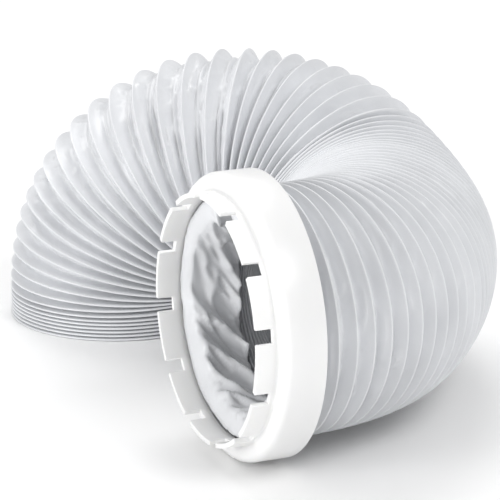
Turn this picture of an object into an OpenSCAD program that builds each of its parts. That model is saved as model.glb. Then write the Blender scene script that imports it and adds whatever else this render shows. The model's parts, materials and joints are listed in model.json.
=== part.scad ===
// Flexible vent duct: a pleated film sleeve on a spring wire coil, with a
// moulded adaptor ring on one end and a bare, closed-up end on the other.
// Millimetres, +Z up. The ring stands on its rim on the floor. The duct leaves
// it level, lies on the floor, turns back on itself, rises, and comes down on
// its closed-up end. The origin is on the floor, under the middle of the whole.

/* [Duct] */
// Outer diameter over the pleat crests
duct_d = 105; // [100:1:108]
// How far the folded film reaches in from the crests
fold_depth = 7; // [4:0.5:10]
// Diameter of the spring wire
wire_d = 0.8; // [0.6:0.1:1]
// Film between the wire and the crest
wire_cover = 0.4; // [0.3:0.1:0.8]

/* [Adaptor ring] */
// Outer diameter of the wide collar
collar_d = 120; // [118:1:124]
// Width of the collar along the ring's axis
collar_w = 18; // [16:1:24]
// Radius of the round front edge of the collar
collar_round = 3.5; // [1:0.5:4]
// Outer diameter of the spigot that carries the tabs
spigot_d = 105; // [100:1:108]
// Length of the spigot in front of the collar
spigot_len = 9; // [8:0.5:14]
// Wall thickness of the moulding
wall = 2; // [1.5:0.1:2.5]
// Number of tabs round the spigot
tabs = 12; // [6:1:16]
// Width of the slot between two tabs, in degrees
slot_angle = 6.5; // [4:0.5:7]
// Length of the slots, from the spigot's tip
slot_len = 7; // [3:0.5:8]
// Turn of the tab pattern about the axis, in degrees
tab_turn = 21.5; // [0:0.5:29]

/* [Rest position] */
// Heading of the ring's axis, in degrees from +X towards +Y
start_yaw = 24; // [15:1:30]
// Length of duct inside the collar
throat_len = 15; // [12:0.5:15]
// Straight length of duct behind the collar
lead_len = 6; // [5:0.5:8]
// Number of bodies in the closed-up end, the bare end included
stack_count = 4; // [3:1:6]
// Wire turns in each body of the closed-up end
stack_turns = 2; // [1:1:3]

/* [Hidden] */
$fn = 96;

// Legs of the duct behind its straight lead, each one plain bend:
// [yaw at its end, rise at its end, length on the centreline, bodies, turns in each body]
legs = [
    [75, -5, 58, 3, 4],
    [86, -3, 60, 4, 2],
    [127, 26, 59, 3, 3],
    [167, 0, 55, 4, 2],
    [167, -54, 60, 4, 2],
    [167, -90, 40, 2, 4],
];

duct_r = duct_d / 2;
collar_r = collar_d / 2;
spigot_r = spigot_d / 2;
wire_ring_r = duct_r - wire_cover - wire_d / 2;
throat_turns = 5;
// Half of the gap between two bodies, measured where they come closest
gap = 0.15;
// Wall of the bare end, and the ribs that hold the duct in the collar
cuff_wall = 1.5;
rib_w = 1.6;
rib_clearance = 0.5;
// Small overlap that keeps cuts clean
eps = 0.01;

function heading(yaw, rise) = [cos(rise) * cos(yaw), cos(rise) * sin(yaw), sin(rise)];

// A leg's start and end headings, its bend angle and radius, half of the gap between
// its bodies as an angle, and the way it bends
function leg_from(i) = i == 0 ? heading(start_yaw, 0) : heading(legs[i - 1][0], legs[i - 1][1]);
function leg_to(i) = heading(legs[i][0], legs[i][1]);
function leg_angle(i) = acos(leg_from(i) * leg_to(i));
function leg_radius(i) = legs[i][2] / (leg_angle(i) * PI / 180);
function leg_gap(i) = gap / (leg_radius(i) - duct_r) * 180 / PI;
function leg_inward(i) = (leg_to(i) - cos(leg_angle(i)) * leg_from(i)) / sin(leg_angle(i));

// Point and heading at an angle along a leg, counted from the leg's start
function leg_point(i, a) =
    leg_start(i) + leg_radius(i) * (sin(a) * leg_from(i) + (1 - cos(a)) * leg_inward(i));
function leg_heading(i, a) = cos(a) * leg_from(i) + sin(a) * leg_inward(i);
function leg_start(i) =
    i == 0 ? ring_centre + lead_len * heading(start_yaw, 0) : leg_point(i - 1, leg_angle(i - 1));

// The ring's centre is in its back face, before the whole is moved over the origin
ring_centre = [0, 0, collar_r];

// Every bent body in order: [leg, start angle, end angle, turns]
bends = [
    for (i = [0 : len(legs) - 1]) for (j = [0 : legs[i][3] - 1])
        [i, leg_angle(i) * j / legs[i][3], leg_angle(i) * (j + 1) / legs[i][3], legs[i][4]]
];

// The last leg ends straight above the bare end, so its height is the stack's
last_leg = len(legs) - 1;
stack_top = leg_point(last_leg, leg_angle(last_leg));
stack_step = stack_top[2] / stack_count;

// Plan of the whole at rest, from circles of the duct and of both edges of the collar along it
plan_step = 0.5;
plan_circles = concat(
    [for (b = bends) for (a = [b[1] : plan_step : b[2]]) [leg_point(b[0], a), leg_heading(b[0], a), duct_r]],
    [[ring_centre, heading(start_yaw, 0), collar_r],
     [ring_centre - (collar_w - collar_round) * heading(start_yaw, 0), heading(start_yaw, 0), collar_r],
     [ring_centre - (collar_w + spigot_len) * heading(start_yaw, 0), heading(start_yaw, 0), spigot_r],
     [stack_top, [0, 0, -1], duct_r]]
);
function low(axis) = min([for (c = plan_circles) c[0][axis] - c[2] * sqrt(1 - pow(c[1][axis], 2))]);
function high(axis) = max([for (c = plan_circles) c[0][axis] + c[2] * sqrt(1 - pow(c[1][axis], 2))]);
shift = [-(low(0) + high(0)) / 2, -(low(1) + high(1)) / 2, 0];

function numbered(name, count) = [for (k = [1 : count]) str(name, k < 10 ? "_0" : "_", k)];
FILM_BENDS = numbered("film_bend", len(bends));
WIRE_BENDS = numbered("wire_bend", len(bends));
FILM_STACK = numbered("film_stack", stack_count - 1);
WIRE_STACK = numbered("wire_stack", stack_count - 1);

// Puts children made along +Z, with +X outwards from the bend, at a point with a heading
module at(point, forward, outward) {
    side = cross(forward, outward);
    p = point + shift;
    multmatrix([
        [outward[0], side[0], forward[0], p[0]],
        [outward[1], side[1], forward[1], p[1]],
        [outward[2], side[2], forward[2], p[2]],
        [0, 0, 0, 1],
    ]) children();
}

// Puts children made round a leg's bend axis, which starts on +X and turns towards +Y
module round_bend(i) {
    outward = -leg_inward(i);
    forward = leg_from(i);
    up = cross(outward, forward);
    p = leg_start(i) + leg_radius(i) * leg_inward(i) + shift;
    multmatrix([
        [outward[0], forward[0], up[0], p[0]],
        [outward[1], forward[1], up[1], p[1]],
        [outward[2], forward[2], up[2], p[2]],
        [0, 0, 0, 1],
    ]) children();
}

module at_ring() {
    at(ring_centre, heading(start_yaw, 0), heading(start_yaw - 90, 0)) children();
}

module tube(r_out, r_in, z_from, z_to) {
    translate([0, 0, z_from]) difference() {
        cylinder(r = r_out, h = z_to - z_from);
        translate([0, 0, -eps]) cylinder(r = r_in, h = z_to - z_from + 2 * eps);
    }
}

module wire_ring() {
    rotate_extrude() translate([wire_ring_r, 0]) circle(d = wire_d, $fn = 24);
}

// The collar, its shoulder and the spigot turned as one wall, then slotted into tabs
module adaptor_profile() {
    front = -collar_w;
    tip = front - spigot_len;
    difference() {
        union() {
            translate([0, front + collar_round]) square([collar_r, collar_w - collar_round]);
            translate([0, front]) square([collar_r - collar_round, collar_w]);
            translate([collar_r - collar_round, front + collar_round]) circle(r = collar_round);
            translate([0, tip]) square([spigot_r, spigot_len + eps]);
        }
        translate([0, front + wall]) square([collar_r - wall, collar_w]);
        translate([0, tip - eps]) square([spigot_r - wall, spigot_len + collar_w]);
    }
}

module adaptor_ring() {
    color("whitesmoke") at_ring() {
        difference() {
            rotate_extrude() adaptor_profile();
            for (k = [0 : tabs - 1]) rotate([0, 0, tab_turn + k * 360 / tabs])
                translate([0, 0, -collar_w - spigot_len - eps])
                rotate([0, 0, -slot_angle / 2])
                rotate_extrude(angle = slot_angle)
                translate([spigot_r - wall - 1, 0]) square([wall + 2, slot_len + eps]);
        }
        for (z = [-0.25, -0.7]) translate([0, 0, z * collar_w])
            tube(collar_r - wall + eps, duct_r + rib_clearance, -rib_w / 2, rib_w / 2);
    }
}

// The straight duct held in the collar, and its short lead behind it
module film_mouth() {
    color("white") at_ring() tube(duct_r, duct_r - fold_depth, -throat_len, lead_len - gap);
}

module wire_mouth() {
    mouth_len = throat_len + lead_len;
    color("silver") at_ring() for (k = [0 : throat_turns - 1])
        translate([0, 0, -throat_len + mouth_len * (k + 0.5) / throat_turns]) wire_ring();
}

module film_bend(k) {
    leg = bends[k][0];
    from = bends[k][1] + leg_gap(leg);
    to = bends[k][2] - leg_gap(leg);
    color("white") round_bend(leg) rotate([0, 0, from]) rotate_extrude(angle = to - from)
        translate([leg_radius(leg), 0]) difference() {
            circle(r = duct_r);
            circle(r = duct_r - fold_depth);
        }
}

module wire_bend(k) {
    leg = bends[k][0];
    count = bends[k][3];
    color("silver") round_bend(leg) for (t = [0 : count - 1])
        rotate([0, 0, bends[k][1] + (bends[k][2] - bends[k][1]) * (t + 0.5) / count])
        translate([leg_radius(leg), 0, 0]) rotate([90, 0, 0]) wire_ring();
}

// Stack body number k from the top, from which it hangs down to the floor
module in_stack(k) {
    translate(stack_top + shift - [0, 0, k * stack_step]) children();
}

module film_stack(k) {
    color("white") in_stack(k) tube(duct_r, duct_r - fold_depth, gap - stack_step, -gap);
}

module wire_stack(k) {
    color("silver") in_stack(k) for (t = [0 : stack_turns - 1])
        translate([0, 0, -stack_step * (t + 0.5) / stack_turns]) wire_ring();
}

module film_end_cuff() {
    color("white") in_stack(stack_count - 1) tube(duct_r, duct_r - cuff_wall, -stack_step, -gap);
}

adaptor_ring();
film_mouth();
wire_mouth();
for (k = [0 : len(bends) - 1]) film_bend(k);
for (k = [0 : len(bends) - 1]) wire_bend(k);
for (k = [0 : stack_count - 2]) film_stack(k);
for (k = [0 : stack_count - 2]) wire_stack(k);
film_end_cuff();
wire_stack(stack_count - 1);  // wire_end_turn
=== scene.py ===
# %% [markdown]
# # A flexible air duct
# A vent duct is three things: a long sleeve of thin pleated film, one spring wire that
# winds through the sleeve from end to end, and a moulded ring that pushes into an outlet.
# The mechanical model is already made, with a body for each section that can move. This
# lesson gives each section its real skin: a wire, a pleat of film hung from it, and a
# ring with soft corners. It starts with the model.

# %% Load the mechanical model
import json
import math

import bmesh
import bpy
import numpy as np
from mathutils import Matrix, Quaternion, Vector, noise


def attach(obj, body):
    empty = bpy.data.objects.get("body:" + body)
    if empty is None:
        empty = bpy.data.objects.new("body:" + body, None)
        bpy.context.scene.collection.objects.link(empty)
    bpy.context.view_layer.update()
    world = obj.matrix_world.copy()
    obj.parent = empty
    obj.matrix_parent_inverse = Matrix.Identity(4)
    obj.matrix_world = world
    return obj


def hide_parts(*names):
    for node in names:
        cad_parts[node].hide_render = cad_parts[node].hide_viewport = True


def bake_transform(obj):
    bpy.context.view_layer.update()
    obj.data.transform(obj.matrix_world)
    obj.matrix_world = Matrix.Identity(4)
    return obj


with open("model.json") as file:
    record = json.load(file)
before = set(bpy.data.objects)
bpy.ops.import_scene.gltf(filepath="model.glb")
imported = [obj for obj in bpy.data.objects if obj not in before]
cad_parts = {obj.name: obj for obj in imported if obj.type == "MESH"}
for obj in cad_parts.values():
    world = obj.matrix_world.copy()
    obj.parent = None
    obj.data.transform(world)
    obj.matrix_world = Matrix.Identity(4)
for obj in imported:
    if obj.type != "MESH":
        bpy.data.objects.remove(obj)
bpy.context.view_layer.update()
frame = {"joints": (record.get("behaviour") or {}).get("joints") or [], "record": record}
MM = 0.001

# %% [markdown]
# The ring's centre and its axis are the first joint's, where the ring turns on the duct.
# Everything else is placed from there, so the skin and the mechanism can't drift apart.

# %% Find the ring
turning = next(j for j in frame["joints"] if j["name"] == "adaptor_turn")
ring_centre = Vector(turning["pos_m"])
ring_axis = Vector(turning["axis"]).normalized()
print("ring centre in mm:", [round(c / MM, 1) for c in ring_centre])

# %% [markdown]
# A long lens from far off keeps the duct's circles nearly round, as a product picture
# does. The camera stands in front of the ring and a little above it.

# %% Camera
CAMERA_FROM_RING = Vector((-6.1, -1099, 344.1)) * MM
CAMERA_TILT = 73.9
LENS = 201.6
camera = bpy.data.objects.new("camera", bpy.data.cameras.new("camera"))
camera.data.lens = LENS
camera.data.sensor_width = 36
camera.data.clip_start = 0.05
camera.location = ring_centre + CAMERA_FROM_RING
camera.rotation_euler = (math.radians(CAMERA_TILT), 0, 0)
bpy.context.collection.objects.link(camera)
bpy.context.scene.camera = camera

# %% [markdown]
# ## The way the duct lies
# A duct pushed into a curve bends like a stack of wedges, so its middle line is a chain
# of plain arcs. Each stretch below is one arc: the heading at its end as yaw and rise in
# degrees, its length, its bodies, and the wire turns in each body. A curve object could
# hold the same line, but arcs keep the inside of each bend exactly as tight as the
# mechanism has it.

# %% The stretches
DUCT_R = 52.5 * MM
RING_YAW = math.degrees(math.atan2(ring_axis.y, ring_axis.x))
THROAT = 15 * MM
LEAD = 6 * MM
MOUTH_TURNS = 5
STACK = 4
STACK_TURNS = 2
LEGS = [
    (75, -5, 58, 3, 4),
    (86, -3, 60, 4, 2),
    (127, 26, 59, 3, 3),
    (167, 0, 55, 4, 2),
    (167, -54, 60, 4, 2),
    (167, -90, 40, 2, 4),
]


def heading(yaw, rise):
    """The unit vector with this yaw and rise, in degrees."""
    yaw, rise = math.radians(yaw), math.radians(rise)
    return Vector(
        (math.cos(rise) * math.cos(yaw), math.cos(rise) * math.sin(yaw), math.sin(rise))
    )


stretches = []


def add_stretch(turns, length, towards):
    """Adds an arc of the duct that ends with its axis pointing towards a direction."""
    if stretches:
        last = stretches[-1]
        whole = Quaternion(last["axis"], last["angle"])
        start = stretch_point(last, 1)
        ahead = whole @ last["ahead"]
        side = whole @ last["side"]
        first = last["first"] + last["turns"]
    else:
        start = ring_centre - THROAT * ring_axis
        ahead = ring_axis.copy()
        first = 0
        side = Vector((0, 0, 1))
    angle = ahead.angle(towards)
    straight = angle < 1e-4
    axis = side if straight else ahead.cross(towards).normalized()
    hub = None if straight else start + axis.cross(ahead) * length / angle
    stretches.append(
        {
            "first": first,
            "turns": turns,
            "length": length,
            "start": start,
            "ahead": ahead,
            "side": side,
            "axis": axis,
            "angle": 0 if straight else angle,
            "hub": hub,
        }
    )


def stretch_point(stretch, share):
    """The middle line's point at a share of a stretch."""
    if stretch["hub"] is None:
        return stretch["start"] + stretch["ahead"] * stretch["length"] * share
    swing = Quaternion(stretch["axis"], stretch["angle"] * share)
    return stretch["hub"] + swing @ (stretch["start"] - stretch["hub"])


add_stretch(MOUTH_TURNS, THROAT + LEAD, ring_axis)
for yaw, rise, length, count, turns in LEGS:
    add_stretch(count * turns, length * MM, heading(yaw, rise))
stack_height = stretch_point(stretches[-1], 1).z
add_stretch(STACK * STACK_TURNS, stack_height, Vector((0, 0, -1)))
all_turns = stretches[-1]["first"] + stretches[-1]["turns"]
print(f"{all_turns} wire turns, closed-up end {stack_height / MM:.1f} mm high")

# %% [markdown]
# Each body of the mechanism holds a few turns. A skin piece that ended where two bodies
# meet would tear there when the joint opens. So each piece runs from the middle of one
# body to the middle of the next, across the joint between them.

# %% The bodies and the turns they hold
bodies = [("mouth", MOUTH_TURNS)]
for leg in LEGS:
    for section in range(leg[3]):
        bodies.append((f"bend_{len(bodies):02d}", leg[4]))
bodies += [(f"stack_{k:02d}", STACK_TURNS) for k in range(1, STACK)]
bodies.append(("bare_end", STACK_TURNS))

middles = []
passed = 0
for name, turns in bodies:
    middles.append(passed + turns / 2)
    passed += turns
assert passed == all_turns
print(len(bodies), "bodies carry the sleeve")

# %% [markdown]
# ## Pleats
# Between two wire turns hangs a strip of film of fixed width. Pull the turns apart and
# the strip flattens; push them together and it folds deep inside. Half the strip is the
# slanted side of a triangle, half the gap between the turns is its base, and the fold's
# depth is what is left. It is never deeper than the film of the mechanical model, and in
# most of this duct that limit is what decides. Film that wide doesn't hang smoothly, so
# the bottom of a pleat buckles back out, and folds and tucks wander along its sides.
#
# The sleeve is first made straight, as a short profile spun once round with a rise of
# one turn, which winds the pleats into the same helix as the wire. It is then laid along
# the arcs point by point, where the outside of a bend spreads and the inside closes.

# %% Pleat values
TURN = 4 * MM
STEPS = 216
STRIP = 19 * MM
FOLD_MOST = 7 * MM
BEAD_HALF = 0.45 * MM
BEAD_DROP = 0.5 * MM
BEAD_SHARE = 0.12
FLANK_POINTS = 8
FILM = 0.22 * MM
WIRE_R = 0.4 * MM
WIRE_RING = DUCT_R - 0.8 * MM
CREASE = 1.6 * MM
LONG_FOLD = 1.5 * MM
SECOND_FOLD = 3.2 * MM

SPARE = 8
knots = [-SPARE] + [s["first"] for s in stretches] + [all_turns, all_turns + SPARE]
arcs = [0.0]
for stretch in stretches:
    arcs.append(arcs[-1] + stretch["length"])
first_gap = stretches[0]["length"] / stretches[0]["turns"]
last_gap = stretches[-1]["length"] / stretches[-1]["turns"]
knot_arcs = [-SPARE * first_gap] + arcs + [arcs[-1] + SPARE * last_gap]
EASE = 2.5
EASE_SAMPLES = 7


def arc_at(turns):
    """Length along the duct at a turn count, eased where one stretch meets the next."""
    shifts = np.linspace(-EASE, EASE, EASE_SAMPLES)
    return np.mean([np.interp(turns + shift, knots, knot_arcs) for shift in shifts], axis=0)


def rows(key):
    """One value of every stretch, as an array with a row for each."""
    values = [s[key] for s in stretches]
    return np.array([tuple(v) if isinstance(v, Vector) else v for v in values], float)


table = {key: rows(key) for key in ("start", "ahead", "side", "axis", "angle", "length")}
bent = table["angle"] > 0
hubs = np.array([tuple(s["hub"] or s["start"]) for s in stretches])


def turned(vectors, axes, angles):
    """Vectors turned about axes by angles, row by row."""
    c, s = np.cos(angles)[:, None], np.sin(angles)[:, None]
    along = np.sum(axes * vectors, axis=1)[:, None]
    return vectors * c + np.cross(axes, vectors) * s + axes * along * (1 - c)


def stations(turns, around):
    """At many places: the middle line, its direction, the way out, and the gap between turns."""
    arc = arc_at(turns)
    k = np.clip(np.searchsorted(arcs, arc, side="right") - 1, 0, len(stretches) - 1)
    share = (arc - np.array(arcs)[k]) / table["length"][k]
    angle = table["angle"][k] * share
    axis = table["axis"][k]
    ahead = turned(table["ahead"][k], axis, angle)
    side = turned(table["side"][k], axis, angle)
    centre = hubs[k] + turned(table["start"][k] - hubs[k], axis, angle)
    centre += np.where(bent[k], 0, table["length"][k] * share)[:, None] * ahead
    out = side * np.cos(around)[:, None] + np.cross(ahead, side) * np.sin(around)[:, None]
    inward = np.cross(axis, ahead)
    tight = np.sum(out * inward, axis=1) * DUCT_R * table["angle"][k] / table["length"][k]
    plain = arc_at(turns + 0.5) - arc_at(turns - 0.5)
    return centre, ahead, out, plain * (1 - tight)


def off_crest(turns, around):
    """The nearest wire turn to each place, and how far off it is as a share of a turn."""
    wound = around / math.tau
    nearest = np.round(turns - wound) + wound
    return nearest, turns - nearest


def waves(turns, around, round_scale, turn_scale, seed):
    """Smooth unevenness that closes on itself round the duct."""
    across = np.cos(around) * round_scale
    up = np.sin(around) * round_scale
    where = np.stack([across, up, turns * turn_scale + seed], axis=1)
    return np.array([noise.noise(w) for w in map(Vector, where)])


def creases(turns, around):
    """Creases from about -1 to 1: sharp ones along the pleat, and short tucks across it."""
    along = 0.35 - 1.7 * np.abs(waves(turns, around, 2.4, 2.6, 0))
    tucks = np.maximum(0, waves(turns, around + 0.6 * turns, 10, 1.4, 30) - 0.1)
    return along + 1.5 * tucks


def second_folds(crest, around):
    """How far the bottom of each pleat has buckled back out, from 0 to 1."""
    return np.clip(0.45 + 1.1 * waves(crest, around, 1.6, 2.3, 120), 0, 1)


def long_folds(crest, side, around, down):
    """A fold that wanders along each flank of a pleat, from 0 to 1."""
    line = 0.45 + 0.5 * waves(crest + 40 * side, around, 1.9, 3.1, 200)
    height = np.clip(0.35 + 1.5 * waves(crest + 40 * side, around, 2.2, 2.9, 260), 0, 1)
    return height * np.exp(-(((down - line) / 0.11) ** 2))


def film_place(turns, around, radius):
    """Where the film's points at these turns and angles come to lie."""
    crest, off = off_crest(turns, around)
    pitch = stations(turns, around)[3]
    bead = np.minimum(BEAD_HALF, 0.44 * pitch)
    side, off = np.sign(off), np.abs(off)
    on_bead = off <= BEAD_SHARE
    up = np.clip(off / BEAD_SHARE, 0, 1)
    down = np.clip((off - BEAD_SHARE) / (0.5 - BEAD_SHARE), 0, 1)
    slide = np.where(on_bead, bead * up, bead + (pitch / 2 - bead) * down)
    fold = np.sqrt(np.maximum(STRIP**2 - pitch**2, 0)) / 2
    fold = np.minimum(fold, FOLD_MOST) - BEAD_DROP
    hanging = 1 - np.clip(1 - down / 0.88, 0, 1) ** 1.6
    open_share = np.clip((pitch / MM - 2.5) / 6, 0, 1)
    drop = BEAD_DROP * (1 - np.sqrt(np.maximum(0, 1 - up**2)))
    reach = DUCT_R - drop - fold * hanging
    middle = np.clip((down - 0.75) / 0.25, 0, 1)
    reach += SECOND_FOLD * open_share * middle * second_folds(turns, around)
    reach += CREASE * open_share * np.sin(down * math.pi) * creases(turns, around)
    reach += LONG_FOLD * open_share * np.sin(down * math.pi) * long_folds(crest, side, around, down)
    reach = np.maximum(reach, DUCT_R - FOLD_MOST)
    centre, _, out, _ = stations(crest + side * slide / pitch, around)
    return centre + out * reach[:, None]


# %% Make one straight piece of sleeve
def wound_sleeve(turns):
    """A straight pleated tube along Z with ragged ends, one turn of the wire to each rise."""
    bead = [-1.0, -0.7, -0.35, 0.0, 0.35, 0.7]
    spacing = (1 - 2 * BEAD_SHARE) / (2 * FLANK_POINTS)
    flank = [BEAD_SHARE + spacing * k for k in range(2 * FLANK_POINTS)]
    shares = [b * BEAD_SHARE for b in bead] + flank
    mesh = bmesh.new()
    profile = []
    for turn in range(-1, turns):
        for share in shares:
            profile.append(mesh.verts.new((DUCT_R, 0, (turn + share) * TURN)))
    edges = [mesh.edges.new(pair) for pair in zip(profile, profile[1:])]
    bmesh.ops.spin(
        mesh, geom=profile + edges, cent=(0, 0, 0), axis=(0, 0, 1),
        dvec=(0, 0, TURN / STEPS), angle=math.tau, steps=STEPS,
        use_merge=False, use_duplicate=False,
    )
    bmesh.ops.remove_doubles(mesh, verts=mesh.verts, dist=0.01 * MM)
    bmesh.ops.recalc_face_normals(mesh, faces=mesh.faces)
    pattern = bpy.data.meshes.new("sleeve_pattern")
    mesh.to_mesh(pattern)
    mesh.free()
    return pattern


def straight_sleeve(first, last):
    """A length of the wound sleeve, cut square at two turn counts."""
    mesh = bmesh.new()
    mesh.from_mesh(pattern)
    bmesh.ops.translate(mesh, verts=mesh.verts, vec=(0, 0, math.floor(first) * TURN))
    for turn, keep_above in ((first, True), (last, False)):
        bmesh.ops.bisect_plane(
            mesh, geom=mesh.verts[:] + mesh.edges[:] + mesh.faces[:], dist=0.001 * MM,
            plane_co=(0, 0, turn * TURN), plane_no=(0, 0, 1),
            clear_inner=keep_above, clear_outer=not keep_above,
        )
    return mesh


def to_object(name, mesh):
    """Turns a bmesh into an object in the scene, smooth shaded."""
    data = bpy.data.meshes.new(name)
    for face in mesh.faces:
        face.smooth = True
    mesh.to_mesh(data)
    mesh.free()
    piece = bpy.data.objects.new(name, data)
    bpy.context.collection.objects.link(piece)
    return piece


PATTERN_TURNS = 7
pattern = wound_sleeve(PATTERN_TURNS)
print(f"the pattern sleeve has {len(pattern.vertices)} points")

# %% [markdown]
# ## Film and moulding
# The film is thin soft vinyl: white, satin and faintly cloudy. The real film also lets a
# little light through, which is left out here: light scattered inside so thin a wall
# came out dark. The ring is a thicker, milkier moulding, so light sinks into it a little.

# %% Materials
def plain_shader(name):
    """A new material and its main shader."""
    material = bpy.data.materials.new(name)
    material.use_nodes = True
    return material, material.node_tree.nodes["Principled BSDF"]


def add_bump(material, shader, scale, strength, distance):
    """Fine unevenness from noise in the object's own space."""
    tree = material.node_tree
    place = tree.nodes.new("ShaderNodeTexCoord")
    grain = tree.nodes.new("ShaderNodeTexNoise")
    grain.inputs["Scale"].default_value = scale
    grain.inputs["Detail"].default_value = 3.0
    bump = tree.nodes.new("ShaderNodeBump")
    bump.inputs["Strength"].default_value = strength
    bump.inputs["Distance"].default_value = distance
    tree.links.new(place.outputs["Object"], grain.inputs["Vector"])
    tree.links.new(grain.outputs["Fac"], bump.inputs["Height"])
    tree.links.new(bump.outputs["Normal"], shader.inputs["Normal"])


def vary_colour(material, shader, low, high, scale):
    """Gentle colour changes over the surface, between two colours."""
    tree = material.node_tree
    place = tree.nodes.new("ShaderNodeTexCoord")
    clouds = tree.nodes.new("ShaderNodeTexNoise")
    clouds.inputs["Scale"].default_value = scale
    ramp = tree.nodes.new("ShaderNodeValToRGB")
    ramp.color_ramp.elements[0].position = 0.35
    ramp.color_ramp.elements[0].color = (*low, 1)
    ramp.color_ramp.elements[1].position = 0.65
    ramp.color_ramp.elements[1].color = (*high, 1)
    tree.links.new(place.outputs["Object"], clouds.inputs["Vector"])
    tree.links.new(clouds.outputs["Fac"], ramp.inputs["Fac"])
    tree.links.new(ramp.outputs["Color"], shader.inputs["Base Color"])


film_plastic, shader = plain_shader("duct_film")
vary_colour(film_plastic, shader, (0.73, 0.74, 0.76), (0.79, 0.80, 0.82), 30)
shader.inputs["Roughness"].default_value = 0.36
shader.inputs["Sheen Weight"].default_value = 0.15
shader.inputs["Sheen Roughness"].default_value = 0.4
add_bump(film_plastic, shader, 260, 0.18, 0.0004)

ring_plastic, shader = plain_shader("ring_plastic")
vary_colour(ring_plastic, shader, (0.87, 0.87, 0.865), (0.90, 0.90, 0.895), 18)
shader.inputs["Roughness"].default_value = 0.3
shader.inputs["Subsurface Weight"].default_value = 0.3
shader.inputs["Subsurface Radius"].default_value = (0.003, 0.003, 0.0027)
shader.inputs["Subsurface Scale"].default_value = 1.0
add_bump(ring_plastic, shader, 90, 0.08, 0.0003)

spring_steel, shader = plain_shader("coil_wire")
vary_colour(spring_steel, shader, (0.6, 0.61, 0.63), (0.74, 0.75, 0.77), 60)
shader.inputs["Metallic"].default_value = 1.0
shader.inputs["Roughness"].default_value = 0.3
add_bump(spring_steel, shader, 900, 0.1, 0.0001)
print("materials:", [m.name for m in bpy.data.materials])

# %% [markdown]
# ## Laying the sleeve
# A piece is made straight, where a turn count is simply a height, and only afterwards
# are its points laid along the arcs, so its ends meet their neighbours. Only the two end
# pieces are given to a body, the mouth and the bare end.

# %% Sleeve pieces
def cad_nodes(body, kind):
    """The body's nodes of one kind, film or wire."""
    return [n for n in frame["record"]["behaviour"]["bodies"][body] if n.startswith(kind)]


def lay(piece, place):
    """Moves every point of a straight piece to its place along the duct."""
    count = len(piece.data.vertices)
    flat = np.empty(count * 3, np.float32)
    piece.data.vertices.foreach_get("co", flat)
    x, y, z = flat.reshape(-1, 3).astype(float).T
    placed = place(z / TURN, np.arctan2(y, x), np.hypot(x, y))
    piece.data.vertices.foreach_set("co", placed.astype(np.float32).ravel())
    piece.data.update()


def carry(piece, b):
    """Bakes a piece's placement into its points when it runs between two bodies."""
    if b:
        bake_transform(piece)


spans = [("start", 0, middles[0], "mouth", None)]
for k in range(len(bodies) - 1):
    spans.append((f"{k + 1:02d}", middles[k], middles[k + 1], bodies[k][0], bodies[k + 1][0]))
spans.append(("end", middles[-1], all_turns, "bare_end", None))

points = 0
for label, first, last, a, b in spans:
    piece = to_object(f"film_{label}", straight_sleeve(first, last))
    carry(piece, b)
    lay(piece, film_place)
    thick = piece.modifiers.new("thickness", "SOLIDIFY")
    thick.thickness = FILM
    thick.offset = -1
    thick.use_rim = False
    piece.data.materials.append(film_plastic)
    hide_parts(*cad_nodes(b or a, "film"))
    if not b:
        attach(piece, a)
    points += len(piece.data.vertices)
bpy.data.meshes.remove(pattern)
print(len(spans), "sleeve pieces,", points, "points")

# %% [markdown]
# Inside the ring the sleeve's cut end is loose. It isn't pleated by wire there, so it
# lies back against the ring in a few big soft folds that run inwards. It is a short
# tube, spun from a line, with its folds pressed in by the same kind of waves.

# %% Loose end in the mouth
EDGE_FRONT = -16.6 * MM
EDGE_BACK = 6 * MM
EDGE_ROWS = 28
EDGE_R = 45.2 * MM
EDGE_FLARE = 5 * MM
EDGE_TAPER = 1.5 * MM
FLARE_SHARE = 0.1
BIG_FOLD = 5.5 * MM
SMALL_FOLD = 2.2 * MM
EDGE_TWIST = 0.7


def ring_frame():
    """The matrix from the ring's own axes to the model's. Its X points to the duct's right."""
    out = heading(RING_YAW - 90, 0)
    facing = Matrix((out, ring_axis.cross(out), ring_axis)).transposed().to_4x4()
    return Matrix.Translation(ring_centre) @ facing


mesh = bmesh.new()
line = []
for k in range(EDGE_ROWS + 1):
    share = k / EDGE_ROWS
    height = EDGE_FRONT + (EDGE_BACK - EDGE_FRONT) * share
    flare = max(0, 1 - share / FLARE_SHARE) ** 0.5
    line.append(mesh.verts.new((EDGE_R + EDGE_FLARE * flare - EDGE_TAPER * share, 0, height)))
edges = [mesh.edges.new(pair) for pair in zip(line, line[1:])]
bmesh.ops.spin(
    mesh, geom=line + edges, cent=(0, 0, 0), axis=(0, 0, 1), dvec=(0, 0, 0),
    angle=math.tau, steps=STEPS, use_merge=True, use_duplicate=False,
)
bmesh.ops.recalc_face_normals(mesh, faces=mesh.faces)
for vert in mesh.verts:
    share = (vert.co.z - EDGE_FRONT) / (EDGE_BACK - EDGE_FRONT)
    around = math.atan2(vert.co.y, vert.co.x) + EDGE_TWIST * share
    where = Vector((math.cos(around), math.sin(around), 0))
    big = 1 - 2.2 * abs(noise.noise(where * 2.6 + Vector((0, 0, 0.8 * share))))
    small = 1 - 2.2 * abs(noise.noise(where * 6 + Vector((5, 0, 2 * share))))
    press = BIG_FOLD * max(0, big) ** 1.5 + SMALL_FOLD * max(0, small) ** 2
    press *= min(1, 0.3 + 4 * share)
    flat = Vector((vert.co.x, vert.co.y, 0)).normalized()
    vert.co -= flat * press
bmesh.ops.transform(mesh, matrix=ring_frame(), verts=mesh.verts)
edge_piece = to_object("film_loose_end", mesh)
thick = edge_piece.modifiers.new("thickness", "SOLIDIFY")
thick.thickness = FILM
thick.offset = -1
edge_piece.data.materials.append(film_plastic)
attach(edge_piece, "mouth")

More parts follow.
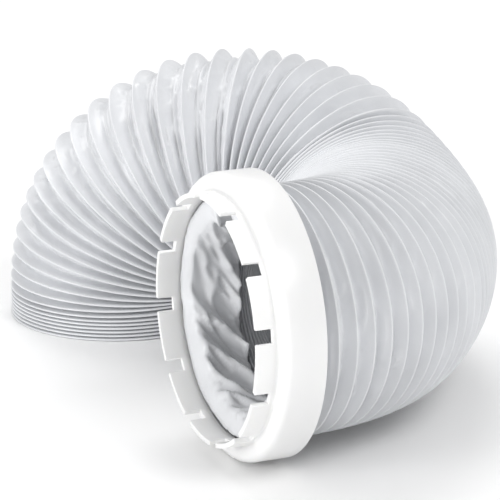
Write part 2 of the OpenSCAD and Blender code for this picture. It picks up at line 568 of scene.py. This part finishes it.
# %% [markdown]
# ## The spring wire
# The wire is a small circle spun round and round while it rises. Only the middle of its
# section is laid along the duct, and the section is put back round it, so it keeps its
# thickness. On the inside of the tightest bends it is narrowed to fit between its turns.

# %% Wire pieces
WIRE_STEPS = 96
WIRE_SIDES = 6
WIRE_ROOM = 1.1 * MM


def straight_wire(first, last):
    """A helix of wire along Z from one turn count to another."""
    steps = round((last - first) * WIRE_STEPS)
    mesh = bmesh.new()
    begin = Matrix.Rotation(first * math.tau, 4, "Z")
    upright = Matrix.Translation((WIRE_RING, 0, 0)) @ Matrix.Rotation(math.pi / 2, 4, "X")
    circle = bmesh.ops.create_circle(mesh, segments=WIRE_SIDES, radius=WIRE_R, matrix=begin @ upright)
    bmesh.ops.translate(mesh, verts=mesh.verts, vec=(0, 0, first * TURN))
    edges = list({e for v in circle["verts"] for e in v.link_edges})
    bmesh.ops.spin(
        mesh, geom=circle["verts"] + edges, cent=(0, 0, 0), axis=(0, 0, 1),
        dvec=(0, 0, (last - first) * TURN / steps), angle=(last - first) * math.tau,
        steps=steps, use_merge=False, use_duplicate=False,
    )
    ends = [e for e in mesh.edges if e.is_boundary]
    bmesh.ops.holes_fill(mesh, edges=ends, sides=WIRE_SIDES)
    bmesh.ops.recalc_face_normals(mesh, faces=mesh.faces)
    return mesh


def wire_place(turns, around, radius):
    """The wire's place: its middle laid along the duct, its round section kept."""
    crest, off = off_crest(turns, around)
    centre, ahead, out, pitch = stations(crest, around)
    squeeze = np.minimum(1, pitch / WIRE_ROOM)
    along = off * TURN * squeeze
    return centre + out * radius[:, None] + ahead * along[:, None]


for label, first, last, a, b in spans:
    piece = to_object(f"wire_{label}", straight_wire(first, last))
    carry(piece, b)
    lay(piece, wire_place)
    piece.data.materials.append(spring_steel)
    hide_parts(*cad_nodes(b or a, "wire"))
    if not b:
        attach(piece, a)
print(len(spans), "wire pieces")

# %% [markdown]
# ## The adaptor ring
# The ring is a thin-walled turning with one wide collar, a shoulder and a short spigot.
# Its wall is drawn once as an outline and spun. The twelve tabs are then pulled out of
# the spigot's end face, each with two rounded corners, which leaves the slots between.

# %% Adaptor ring
COLLAR_R = 60 * MM
COLLAR_W = 18 * MM
SPIGOT = 9 * MM
SLOT = 7 * MM
SLOT_ANGLE = 6.5
TABS = 12
TAB_TURN = 21.5
WALL = 2 * MM
CORNER = 3.5 * MM
CORNER_STEPS = 8
EASED = 0.6 * MM
FILLET = 1 * MM
RIB_HALF = 0.8 * MM
RIB_R = DUCT_R + 0.5 * MM
RIB_PLACES = (-0.7, -0.25)
SLOT_BASE = -COLLAR_W - (SPIGOT - SLOT)
CLOSE = 0.01 * MM


def ring_outline():
    """The wall's outline as radius and height, in order round the section."""
    front = -COLLAR_W
    inner = DUCT_R - WALL
    bore = COLLAR_R - WALL
    section = [(COLLAR_R, 0)]
    for k in range(CORNER_STEPS + 1):
        angle = math.radians(90 * k / CORNER_STEPS)
        across = COLLAR_R - CORNER + CORNER * math.cos(angle)
        section.append((across, front + CORNER - CORNER * math.sin(angle)))
    section += [(DUCT_R + EASED, front), (DUCT_R, front - EASED), (DUCT_R, SLOT_BASE)]
    section += [(inner, SLOT_BASE), (inner, front + WALL)]
    section += [(bore - FILLET, front + WALL), (bore, front + WALL + FILLET)]
    for place in RIB_PLACES:
        low, high = place * COLLAR_W - RIB_HALF, place * COLLAR_W + RIB_HALF
        section += [(bore, low), (RIB_R, low), (RIB_R, high), (bore, high)]
    section.append((bore, 0))
    return section


RING_STEPS = 720
TAB_CORNER = 1.8 * MM
mesh = bmesh.new()
begin = math.radians(TAB_TURN - SLOT_ANGLE / 2)
cos, sin = math.cos(begin), math.sin(begin)
outline = [mesh.verts.new((r * cos, r * sin, z)) for r, z in ring_outline()]
edges = [mesh.edges.new(pair) for pair in zip(outline, outline[1:] + outline[:1])]
bmesh.ops.spin(
    mesh, geom=outline + edges, cent=(0, 0, 0), axis=(0, 0, 1), dvec=(0, 0, 0),
    angle=math.tau, steps=RING_STEPS, use_merge=True, use_duplicate=False,
)
bmesh.ops.recalc_face_normals(mesh, faces=mesh.faces)


def in_slot(angle):
    """Whether an angle in degrees falls in a slot."""
    step = 360 / TABS
    off = (angle - TAB_TURN + step / 2) % step - step / 2
    return abs(off) < SLOT_ANGLE / 2


tips = []
for face in mesh.faces:
    middle = face.calc_center_median()
    flat = all(abs(v.co.z - SLOT_BASE) < CLOSE for v in face.verts)
    if flat and not in_slot(math.degrees(math.atan2(middle.y, middle.x))):
        tips.append(face)
pulled = bmesh.ops.extrude_face_region(mesh, geom=tips)
moved = [g for g in pulled["geom"] if isinstance(g, bmesh.types.BMVert)]
bmesh.ops.translate(mesh, verts=moved, vec=(0, 0, -SLOT))
bmesh.ops.delete(mesh, geom=tips, context="FACES_KEEP_BOUNDARY")

tip = SLOT_BASE - SLOT
corners = []
for edge in mesh.edges:
    a, b = edge.verts
    at_tip = abs(a.co.z - tip) < CLOSE and abs(b.co.z - tip) < CLOSE
    radial = abs(a.co.xy.length - b.co.xy.length) > WALL / 2
    if at_tip and radial and any(abs(f.normal.z) < 0.5 for f in edge.link_faces):
        corners.append(edge)
bmesh.ops.bevel(
    mesh, geom=corners, offset=TAB_CORNER, offset_type="OFFSET", segments=5, profile=0.5,
    affect="EDGES", material=-1, clamp_overlap=True,
)
bmesh.ops.transform(mesh, matrix=ring_frame(), verts=mesh.verts)
print(len(tips), "faces pulled into tabs,", len(corners), "corners rounded")

ring = to_object("adaptor_ring_moulding", mesh)
soft = ring.modifiers.new("soft_edges", "BEVEL")
soft.width = 0.35 * MM
soft.segments = 2
soft.limit_method = "ANGLE"
soft.angle_limit = math.radians(40)
ring.data.materials.append(ring_plastic)
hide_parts("adaptor_ring")
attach(ring, "adaptor")

# %% [markdown]
# ## Studio
# A white floor in a pale room, with three broad soft lights. One shines into the mouth
# from the left, because the folds inside it would be dark without it.

# %% Floor and lights
ROOM_LIGHT = 0.58
floor_mesh = bmesh.new()
bmesh.ops.create_grid(floor_mesh, x_segments=1, y_segments=1, size=4)
floor = to_object("floor", floor_mesh)
floor.location.z = -0.0003
pale, shader = plain_shader("floor")
shader.inputs["Base Color"].default_value = (0.97, 0.97, 0.97, 1)
shader.inputs["Roughness"].default_value = 0.9
floor.data.materials.append(pale)

world = bpy.data.worlds.new("studio")
bpy.context.scene.world = world
world.use_nodes = True
sky = world.node_tree.nodes["Background"]
sky.inputs["Color"].default_value = (1, 1, 1, 1)
sky.inputs["Strength"].default_value = ROOM_LIGHT
bpy.context.scene.view_settings.view_transform = "Standard"


def soft_light(name, place, size, power):
    """A square area light that looks at the duct's middle."""
    lamp = bpy.data.lights.new(name, "AREA")
    lamp.size = size
    lamp.energy = power
    light = bpy.data.objects.new(name, lamp)
    light.location = place
    aim = Vector((0, 0, 0.05)) - Vector(place)
    light.rotation_euler = aim.to_track_quat("-Z", "Y").to_euler()
    bpy.context.collection.objects.link(light)


LIGHTS = [
    ("key", (0.6, -0.7, 1.0), 0.5, 5),
    ("left", (-1.1, -0.75, 0.35), 0.5, 7),
    ("back", (-0.2, 1.1, 1.6), 1.2, 15),
]
for name, place, size, power in LIGHTS:
    soft_light(name, place, size, power)
print(len(LIGHTS), "soft lights")
